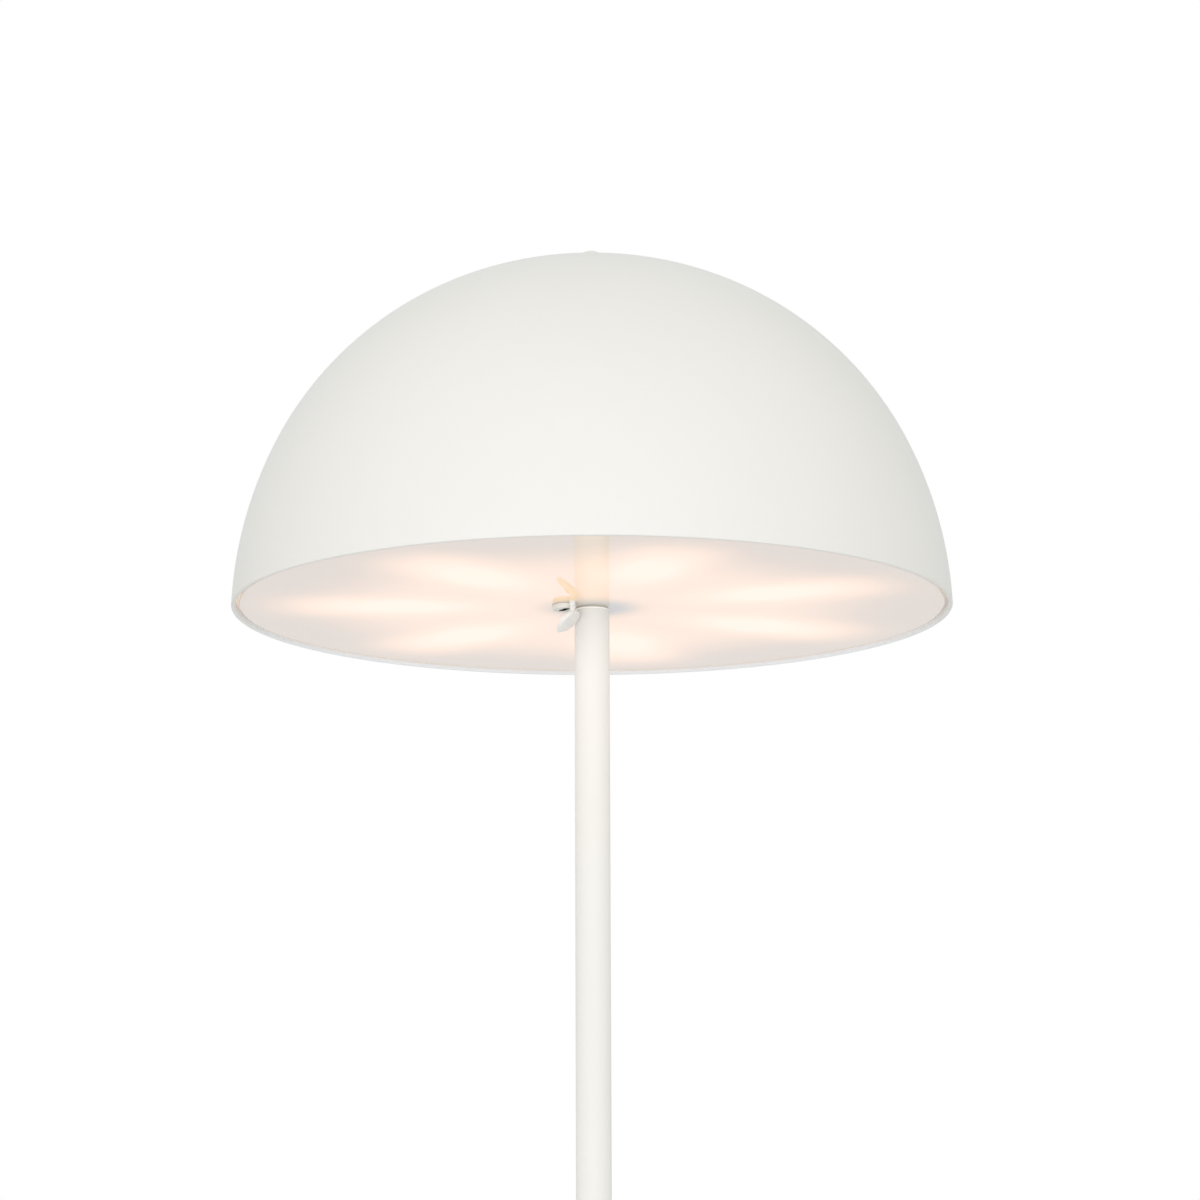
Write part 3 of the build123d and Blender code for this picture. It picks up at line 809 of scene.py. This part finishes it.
def make_shade():
    """The spun dome with its thick rolled hem. Its lining and the inside of its hem carry painted light."""
    rim_angle = math.degrees(math.asin(BULGE_DROP / SIDE_RADIUS))
    rim = side_centre.x + SIDE_RADIUS * math.cos(math.radians(rim_angle))
    hem_inside = rim - HEM_THICKNESS
    hem_top = RIM_HEIGHT + HEM_HEIGHT
    crown_turn = math.degrees(math.acos(HOLE_RADIUS / CROWN_RADIUS)) - SHOULDER_ANGLE
    side_top = side_centre.y + SIDE_RADIUS * math.sin(side_turn)
    bm, foot = start_profile(rim, RIM_HEIGHT)
    end = arc_on(bm, foot, side_centre, SIDE_ANGLE - rim_angle, SIDE_STEPS)
    end = arc_on(bm, end, shoulder_centre, SHOULDER_ANGLE - SIDE_ANGLE, SHOULDER_STEPS)
    end = arc_on(bm, end, crown_centre, crown_turn, CROWN_STEPS)
    inner = SHADE_SHEET / CROWN_RADIUS
    end = line_to(bm, end, end.co.x / MM * (1 - inner), end.co.z / MM - SHADE_SHEET)
    end = arc_on(bm, end, crown_centre, -crown_turn, CROWN_STEPS)
    end = arc_on(bm, end, shoulder_centre, SIDE_ANGLE - SHOULDER_ANGLE, SHOULDER_STEPS)
    inner_angle = math.degrees(math.asin((hem_top - side_centre.y) / (SIDE_RADIUS - SHADE_SHEET)))
    end = arc_on(bm, end, side_centre, inner_angle - SIDE_ANGLE, LINING_STEPS)
    end = line_to(bm, end, hem_inside, hem_top)
    inside_foot = line_to(bm, end, hem_inside, RIM_HEIGHT)
    bm.edges.new((inside_foot, foot))
    round_off(bm, [foot, inside_foot], HEM_ROUNDING)
    spin_profile(bm, FINE)
    # Painted light: the lining glows along the arms, the inside of the hem on its back half
    for face in bm.faces:
        spot = face.calc_center_median() / MM
        out = Vector((math.hypot(spot.x, spot.y), spot.z)) - side_centre
        if hem_top < spot.z < side_top and out.length < SIDE_RADIUS - SHADE_SHEET / 2:
            face.material_index = LINING_PLACE
        elif spot.z <= hem_top and not is_outside(spot, rim - HEM_ROUNDING / 2):
            face.material_index = HEM_PLACE
    piece = finish_piece(bm, "shade", "coat", "lamp", "shade_dome")
    piece.data.materials.append(painted_light_lining)
    piece.data.materials.append(painted_light_hem)


def make_upper_pole():
    """The pole's upper length, which meets the lower one in a fine groove. Its top edge carries a
    painted highlight.
    """
    bm = turned(
        [
            (POLE_RADIUS, POLE_JOINT), (POLE_RADIUS, POLE_TOP), (POLE_BORE, POLE_TOP),
            (POLE_BORE, POLE_JOINT),
        ],
        {0: JOINT_ROUNDING, 1: POLE_END_ROUNDING}, ROUND,
    )
    # Painted highlight: the rounded top edge takes a glow near the hub
    for face in bm.faces:
        spot = face.calc_center_median() / MM
        at_edge = is_outside(spot, POLE_RADIUS - POLE_END_ROUNDING)
        if at_edge and spot.z > POLE_TOP - POLE_END_ROUNDING:
            face.material_index = LIP_PLACE
    piece = finish_piece(bm, "pole_top_length", "coat", "lamp", "pole_upper")
    piece.data.materials.append(painted_highlight_lip)


def make_lower_pole():
    """The pole's lower length."""
    bm = turned(
        [
            (POLE_RADIUS, POLE_LOW), (POLE_RADIUS, POLE_JOINT), (POLE_BORE, POLE_JOINT),
            (POLE_BORE, POLE_LOW),
        ],
        {1: JOINT_ROUNDING}, ROUND,
    )
    finish_piece(bm, "pole_foot_length", "coat", "lamp", "pole_lower")


def make_pole_seal():
    """The thin ring between the pole's end and the disc."""
    bm = turned(
        [
            (ROD_BORE, POLE_TOP), (SEAL_RADIUS, POLE_TOP), (SEAL_RADIUS, DIFFUSER_LOW),
            (ROD_BORE, DIFFUSER_LOW),
        ],
        {1: SEAL_ROUNDING, 2: SEAL_ROUNDING}, ROUND,
    )
    finish_piece(bm, "pole_gasket", "seal_rubber", "lamp", "pole_seal")


def make_collar():
    """The turned collar that the pole stands in."""
    bore = POLE_RADIUS + FOOT_CLEARANCE
    bm = turned(
        [
            (ROD_BORE, BASE_TOP), (FOOT_RADIUS, BASE_TOP), (FOOT_RADIUS, FOOT_TOP), (bore, FOOT_TOP),
            (bore, POLE_LOW), (ROD_BORE, POLE_LOW),
        ],
        {2: FOOT_ROUNDING, 3: FOOT_MOUTH_ROUNDING}, ROUND,
    )
    finish_piece(bm, "pole_collar", "coat", "lamp", "pole_foot")


def make_base_plate():
    """The round plate with its broken edge."""
    bm = turned(
        [
            (BASE_RADIUS, BASE_LOW), (BASE_RADIUS, BASE_TOP), (ROD_BORE, BASE_TOP),
            (ROD_BORE, RECESS_TOP), (RECESS_RADIUS, RECESS_TOP), (RECESS_RADIUS, BASE_LOW),
        ],
        {0: BASE_LOW_ROUNDING, 1: BASE_ROUNDING}, FINE,
    )
    finish_piece(bm, "base_disc", "coat", "lamp", "base_plate")


def make_base_pad():
    """The soft pad under the plate."""
    bm = turned(
        [(RECESS_RADIUS, 0), (PAD_RADIUS, 0), (PAD_RADIUS, BASE_LOW), (RECESS_RADIUS, BASE_LOW)],
        {0: PAD_MOUTH_ROUNDING, 1: PAD_ROUNDING}, FINE,
    )
    finish_piece(bm, "base_cushion", "seal_rubber", "lamp", "base_pad")


def make_bush():
    """The flanged bush at the apex, which guides the button."""
    top = APEX + BUSH_FLANGE
    guide = BUTTON_RADIUS + BUTTON_CLEARANCE
    drop = CROWN_RADIUS - math.sqrt(CROWN_RADIUS**2 - BUSH_FLANGE_RADIUS**2)
    bm = turned(
        [
            (BUSH_FLANGE_RADIUS, APEX - drop), (BUSH_FLANGE_RADIUS, top), (guide, top),
            (guide, APEX - BUSH_LIP), (BUSH_BORE, APEX - BUSH_LIP), (BUSH_BORE, APEX - BUSH_LENGTH),
            (BUSH_RADIUS, APEX - BUSH_LENGTH), (BUSH_RADIUS, APEX - drop),
        ],
        {1: BUSH_ROUNDING, 2: BUSH_MOUTH_ROUNDING}, ROUND,
    )
    finish_piece(bm, "button_bush", "coat", "lamp", "button_bezel")


def make_button():
    """The crowned button with the flange that keeps it in the bush."""
    crown_top = APEX + BUTTON_PROUD
    edge = math.degrees(math.acos(BUTTON_RADIUS / BUTTON_CROWN))
    crown_low = crown_top - BUTTON_CROWN + BUTTON_CROWN * math.sin(math.radians(edge))
    bm, end = start_profile(0, FLANGE_LOW)
    end = line_to(bm, end, BUTTON_FLANGE_RADIUS, FLANGE_LOW)
    end = line_to(bm, end, BUTTON_FLANGE_RADIUS, FLANGE_TOP)
    end = line_to(bm, end, BUTTON_RADIUS, FLANGE_TOP)
    shoulder = line_to(bm, end, BUTTON_RADIUS, crown_low)
    arc_on(bm, shoulder, (0, crown_top - BUTTON_CROWN), 90 - edge, BUTTON_STEPS)
    round_off(bm, [shoulder], BUTTON_ROUNDING)
    spin_profile(bm, ROUND)
    finish_piece(bm, "push_button", "coat", "button", "power_button")


def make_membrane():
    """The silicone dome under the button, drawn at rest, though the button squeezes it as it goes down."""
    bm = turned(
        [
            (0, FLANGE_LOW), (MEMBRANE_TOP_RADIUS, FLANGE_LOW), (BUTTON_FLANGE_RADIUS, SWITCH_TOP),
            (BUTTON_FLANGE_RADIUS - 2 * MEMBRANE_WALL, SWITCH_TOP),
            (MEMBRANE_TOP_RADIUS - MEMBRANE_WALL, FLANGE_LOW - MEMBRANE_WALL),
            (0, FLANGE_LOW - MEMBRANE_WALL),
        ],
        {1: MEMBRANE_ROUNDING}, SMALL,
    )
    piece = finish_piece(bm, "switch_dome", "silicone", "lamp", "button_membrane")
    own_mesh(piece)


def make_port_surround():
    """The port's oval surround with its slot, and the round barrel above it."""
    bm = bmesh.new()
    rim = slot_ring(bm, PORT_LENGTH, PORT_WIDTH, -PORT_PROUD)
    lip = slot_ring(bm, *MOUTH, -PORT_PROUD)
    bridge(
        bm, lip, rim, slot_ring(bm, PORT_LENGTH, PORT_WIDTH, -PORT_SEAL),
        circle_ring(bm, PORT_BARREL_RADIUS, -PORT_SEAL),
        circle_ring(bm, PORT_BARREL_RADIUS, PORT_BARREL_TOP),
        slot_ring(bm, *MOUTH, PORT_BARREL_TOP), lip,
    )
    rim_edges = ring_edges(bm, rim)
    lip_edges = ring_edges(bm, lip)
    round_off(bm, rim_edges, PORT_ROUNDING, "EDGES")
    round_off(bm, lip_edges, MOUTH_ROUNDING, "EDGES")
    bmesh.ops.transform(bm, matrix=port_place, verts=bm.verts)
    finish_piece(bm, "port_surround", "port_plastic", "lamp", "port_bezel")


def make_port_seal():
    """The thin seal between the surround and the disc."""
    bm = bmesh.new()
    size = (PORT_LENGTH + 2 * PORT_SEAL_PROUD, PORT_WIDTH + 2 * PORT_SEAL_PROUD)
    hole = PORT_BARREL_RADIUS + PORT_SEAL_CLEARANCE
    bottom = slot_ring(bm, *size, -PORT_SEAL)
    bridge(
        bm, bottom, slot_ring(bm, *size, 0), circle_ring(bm, hole, 0), circle_ring(bm, hole, -PORT_SEAL),
        bottom,
    )
    bmesh.ops.transform(bm, matrix=port_place, verts=bm.verts)
    finish_piece(bm, "port_gasket", "seal_rubber", "lamp", "port_seal")


def make_socket():
    """The dark socket in the slot: a shell with a floor, and the tongue that stands on it. Its
    near-black is partly its own dark plastic and partly painted shade of the deep slot.
    """
    bm = bmesh.new()
    mouth = SOCKET_SETBACK - PORT_PROUD
    floor = SOCKET_TOP - SOCKET_FLOOR
    inside = (SOCKET_LENGTH - 2 * SOCKET_WALL, SOCKET_WIDTH - 2 * SOCKET_WALL)
    outer_top = slot_ring(bm, SOCKET_LENGTH, SOCKET_WIDTH, SOCKET_TOP)
    inner_top = slot_ring(bm, *inside, floor)
    bridge(
        bm, outer_top, slot_ring(bm, SOCKET_LENGTH, SOCKET_WIDTH, mouth),
        slot_ring(bm, *inside, mouth), inner_top,
    )
    bm.faces.new(outer_top)
    bm.faces.new(inner_top)
    tongue = bmesh.ops.create_cube(bm, size=1.0)["verts"]
    length = floor - mouth - TONGUE_SETBACK
    bmesh.ops.scale(bm, verts=tongue, vec=((SOCKET_LENGTH - SOCKET_WIDTH) * MM, TONGUE * MM, length * MM))
    bmesh.ops.translate(bm, verts=tongue, vec=(0, 0, (floor - length / 2) * MM))
    bmesh.ops.transform(bm, matrix=port_place, verts=bm.verts)
    finish_piece(bm, "port_socket", "socket_plastic", "lamp", "charging_socket")


def make_cap():
    """The open rubber cap: a thick disc with a plug for the slot and a pull tab."""
    half = CAP_THICKNESS / 2
    bm = turned(
        [(0, half), (CAP_RADIUS, half), (CAP_RADIUS, -half), (0, -half)],
        {1: CAP_ROUNDING, 2: CAP_ROUNDING}, SMALL,
    )
    slot_block(bm, PLUG_LENGTH, PLUG_WIDTH, -half - PLUG_HEIGHT, -half + PLUG_OVERLAP)
    tab = TAB_REACH - TAB_RADIUS
    tab_rings = slot_block(
        bm, tab + 2 * TAB_RADIUS, 2 * TAB_RADIUS, -TAB_THICKNESS / 2, TAB_THICKNESS / 2
    )
    outline = tab_rings[0] + tab_rings[1]
    bmesh.ops.translate(bm, verts=outline, vec=(-tab / 2 * MM, 0, 0))
    bmesh.ops.rotate(
        bm, verts=outline, cent=(0, 0, 0), matrix=Matrix.Rotation(math.radians(TAB_ANGLE), 3, "Z")
    )
    round_off(bm, ring_edges(bm, *tab_rings), TAB_ROUNDING, "EDGES")
    shut = Matrix((strap_way, down.cross(strap_way), down)).transposed().to_4x4()
    shut.translation = cap_middle * MM
    bmesh.ops.transform(bm, matrix=opening @ shut, verts=bm.verts)
    finish_piece(bm, "dust_cap", "cap_rubber", "cap", "port_cap")


def only(kind, items):
    """Those of the mesh's items that are of a kind."""
    return [item for item in items if isinstance(item, kind)]


def run_on(bm, faces, way, steps):
    """Carries the end of a band on in a straight line, and returns its new end."""
    for _ in range(steps):
        made = bmesh.ops.extrude_face_region(bm, geom=faces)["geom"]
        bmesh.ops.delete(bm, geom=faces, context="FACES_ONLY")
        faces = only(bmesh.types.BMFace, made)
        bmesh.ops.translate(bm, verts=only(bmesh.types.BMVert, made), vec=way / steps)
    return faces


def make_strap():
    """The short band from the post to the cap, which bends at its root."""
    way = -opened_way
    inward = (way - way.dot(down) * down).normalized()
    turn = down.angle(way)
    lead = STRAP_BEND * math.tan(turn / 2)
    root = Vector((hinge_spot.x, hinge_spot.y, DIFFUSER_LOW - POST_DROP + STRAP_ROOT_OVERLAP)) * MM
    bend = Vector((hinge_spot.x, hinge_spot.y, hinge_spot.z + lead)) * MM
    place = Matrix((inward, down.cross(inward), down)).transposed().to_4x4()
    place.translation = root
    bm = bmesh.new()
    bmesh.ops.create_grid(bm, x_segments=1, y_segments=1, size=0.5)
    bmesh.ops.scale(bm, verts=bm.verts, vec=(STRAP_THICKNESS * MM, STRAP_WIDTH * MM, 1))
    round_off(bm, bm.verts[:], STRAP_ROUNDING)
    bmesh.ops.transform(bm, matrix=place, verts=bm.verts)
    end = bm.faces[:]
    # A copy of the first face closes the root, because run_on deletes the face that it starts from
    bmesh.ops.duplicate(bm, geom=end)
    end = run_on(bm, end, bend - root, STRAP_ROOT_STEPS)
    made = bmesh.ops.spin(
        bm, geom=end, cent=bend + inward * STRAP_BEND * MM, axis=down.cross(inward), angle=turn,
        steps=STRAP_BEND_STEPS,
    )["geom_last"]
    bmesh.ops.delete(bm, geom=end, context="FACES_ONLY")
    length = STRAP_REACH - CAP_RADIUS - lead + STRAP_OVERLAP
    run_on(bm, only(bmesh.types.BMFace, made), way * length * MM, STRAP_END_STEPS)
    piece = finish_piece(bm, "cap_band", "cap_rubber", None, "cap_strap")
    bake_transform(piece)


def make_post():
    """The barbed post that the strap hangs from."""
    foot = DIFFUSER_LOW - POST_DROP
    top = DIFFUSER_TOP + POST_RISE
    bm = turned(
        [
            (0, foot), (POST_RADIUS, foot), (POST_RADIUS, top), (BARB_RADIUS, top),
            (POST_RADIUS, top + BARB_HEIGHT), (0, top + BARB_HEIGHT),
        ],
        {1: POST_ROUNDING}, POST_SIDES, hinge_spot.xy,
    )
    finish_piece(bm, "cap_post", "cap_rubber", "lamp", "cap_anchor")


make_shade()
make_upper_pole()
make_lower_pole()
make_pole_seal()
make_collar()
make_base_plate()
make_base_pad()
make_bush()
make_button()
make_membrane()
make_port_surround()
make_port_seal()
make_socket()
make_cap()
make_strap()
make_post()


# Floor, light and camera, in metres

WHITE = (1, 1, 1, 1)
# What the glossy disc mirrors: the studio beyond the white, a little dimmer and cooler
MIRRORED = (0.82, 0.87, 0.97, 1)
FLOOR_RADIUS = 30.0
FLOOR_SIDES = 128
FLOOR_FADE = (0.8, 4.0)
PAD_LIGHT_MARGIN = 0.002
PAD_LIGHT = 0.5
ROOM_COLOR = (1.0, 1.0, 0.96, 1)
ROOM_STRENGTH = 0.79
SOFTBOX_WIDTH = 2.6
SOFTBOX_HEIGHT = 2.2
SOFTBOX_ENERGY = 44.5
SOFTBOX_COLOR = (0.955, 0.935, 1.0)
SOFTBOX_PLACE = (-0.32, -3.6, 0.95)

# Camera, from the perspective of the photograph: its angles in degrees and its lens in millimetres
CAMERA_PLACE = (0.0, -2.134, 0.887)
CAMERA_PITCH = 11.31
CAMERA_PAN = -0.1116
CAMERA_ROLL = -0.21
CAMERA_LENS = 126.3
CAMERA_NEAR = 0.05
CAMERA_FAR = 100


def make_floor_paint():
    """Pale paint that keeps the lamp's shadow and fades into white. It is clear from below, and
    under the pad it glows for diffuse rays, which lights the pad's underside."""
    material = bpy.data.materials.new("floor_paint")
    tree = start_tree(material)
    place = tree.add("ShaderNodeTexCoord").outputs["Object"]
    grain = add_grain(
        tree, place, color=(0.82, 0.82, 0.82), second=(0.81, 0.81, 0.81), rough=(0.7, 0.8),
        scale=200.0, depth=0.0002, mottle=1.5,
    )
    paint = tree.add(
        "ShaderNodeBsdfPrincipled",
        {"Specular IOR Level": 0.1, "Base Color": grain["Color"], "Roughness": grain["Roughness"]},
    )
    rays = tree.rays()
    white = tree.emission(tree.mix(rays["Is Glossy Ray"], WHITE, MIRRORED))
    seen = tree.math("MAXIMUM", rays["Is Camera Ray"], rays["Is Glossy Ray"])
    distance = tree.add("ShaderNodeVectorMath", {0: place}, operation="LENGTH").outputs["Value"]
    fade = tree.math("MULTIPLY", seen, tree.ramp(distance, *FLOOR_FADE))
    surface = tree.mix_shaders(fade, paint.outputs["BSDF"], white)
    pad_edge = PAD_RADIUS * MM
    covered = tree.ramp(distance, pad_edge - PAD_LIGHT_MARGIN, pad_edge, 1.0, 0.0)
    under = tree.math("MULTIPLY", rays["Is Diffuse Ray"], covered)
    surface = tree.mix_shaders(under, surface, tree.emission(WHITE, PAD_LIGHT))
    below = tree.add("ShaderNodeNewGeometry").outputs["Backfacing"]
    clear = tree.add("ShaderNodeBsdfTransparent").outputs["BSDF"]
    tree.add("ShaderNodeOutputMaterial", {"Surface": tree.mix_shaders(below, surface, clear)})
    return material


def make_floor():
    """A wide round floor under the lamp."""
    bm = bmesh.new()
    bmesh.ops.create_circle(bm, cap_ends=True, segments=FLOOR_SIDES, radius=FLOOR_RADIUS)
    mesh = bpy.data.meshes.new("floor")
    bm.to_mesh(mesh)
    bm.free()
    mesh.materials.append(make_floor_paint())
    floor = bpy.data.objects.new("floor", mesh)
    bpy.context.scene.collection.objects.link(floor)


def make_room():
    """An even white room, a little warm where it lights the lamp."""
    world = bpy.data.worlds.new("studio")
    bpy.context.scene.world = world
    tree = start_tree(world)
    rays = tree.rays()
    beyond = tree.mix(rays["Is Glossy Ray"], WHITE, MIRRORED)
    room = tree.add("ShaderNodeBackground", {"Color": ROOM_COLOR, "Strength": ROOM_STRENGTH})
    white = tree.add("ShaderNodeBackground", {"Color": beyond, "Strength": 1.0})
    sharp = tree.math("MAXIMUM", rays["Is Glossy Ray"], rays["Is Transmission Ray"])
    seen = tree.math("MAXIMUM", rays["Is Camera Ray"], sharp)
    surface = tree.mix_shaders(seen, room.outputs["Background"], white.outputs["Background"])
    tree.add("ShaderNodeOutputWorld", {"Surface": surface})


def make_softbox():
    """A broad soft lamp on the camera's side."""
    lamp = bpy.data.lights.new("front_softbox", "AREA")
    lamp.shape = "RECTANGLE"
    lamp.size = SOFTBOX_WIDTH
    lamp.size_y = SOFTBOX_HEIGHT
    lamp.energy = SOFTBOX_ENERGY
    lamp.color = SOFTBOX_COLOR
    softbox = bpy.data.objects.new("front_softbox", lamp)
    softbox.matrix_world = Matrix.Translation(SOFTBOX_PLACE) @ Matrix.Rotation(math.radians(90), 4, "X")
    bpy.context.scene.collection.objects.link(softbox)


def make_camera():
    """The camera at the photograph's place, looking up at the shade."""
    camera = bpy.data.cameras.new("camera")
    camera.lens = CAMERA_LENS
    camera.clip_start = CAMERA_NEAR
    camera.clip_end = CAMERA_FAR
    eye = bpy.data.objects.new("camera", camera)
    eye.matrix_world = (
        Matrix.Translation(CAMERA_PLACE)
        @ Matrix.Rotation(math.radians(CAMERA_PAN), 4, "Z")
        @ Matrix.Rotation(math.radians(90 + CAMERA_PITCH), 4, "X")
        @ Matrix.Rotation(math.radians(CAMERA_ROLL), 4, "Z")
    )
    bpy.context.scene.collection.objects.link(eye)
    bpy.context.scene.camera = eye


make_floor()
make_room()
make_softbox()
make_camera()
bpy.context.scene.view_settings.view_transform = "Standard"
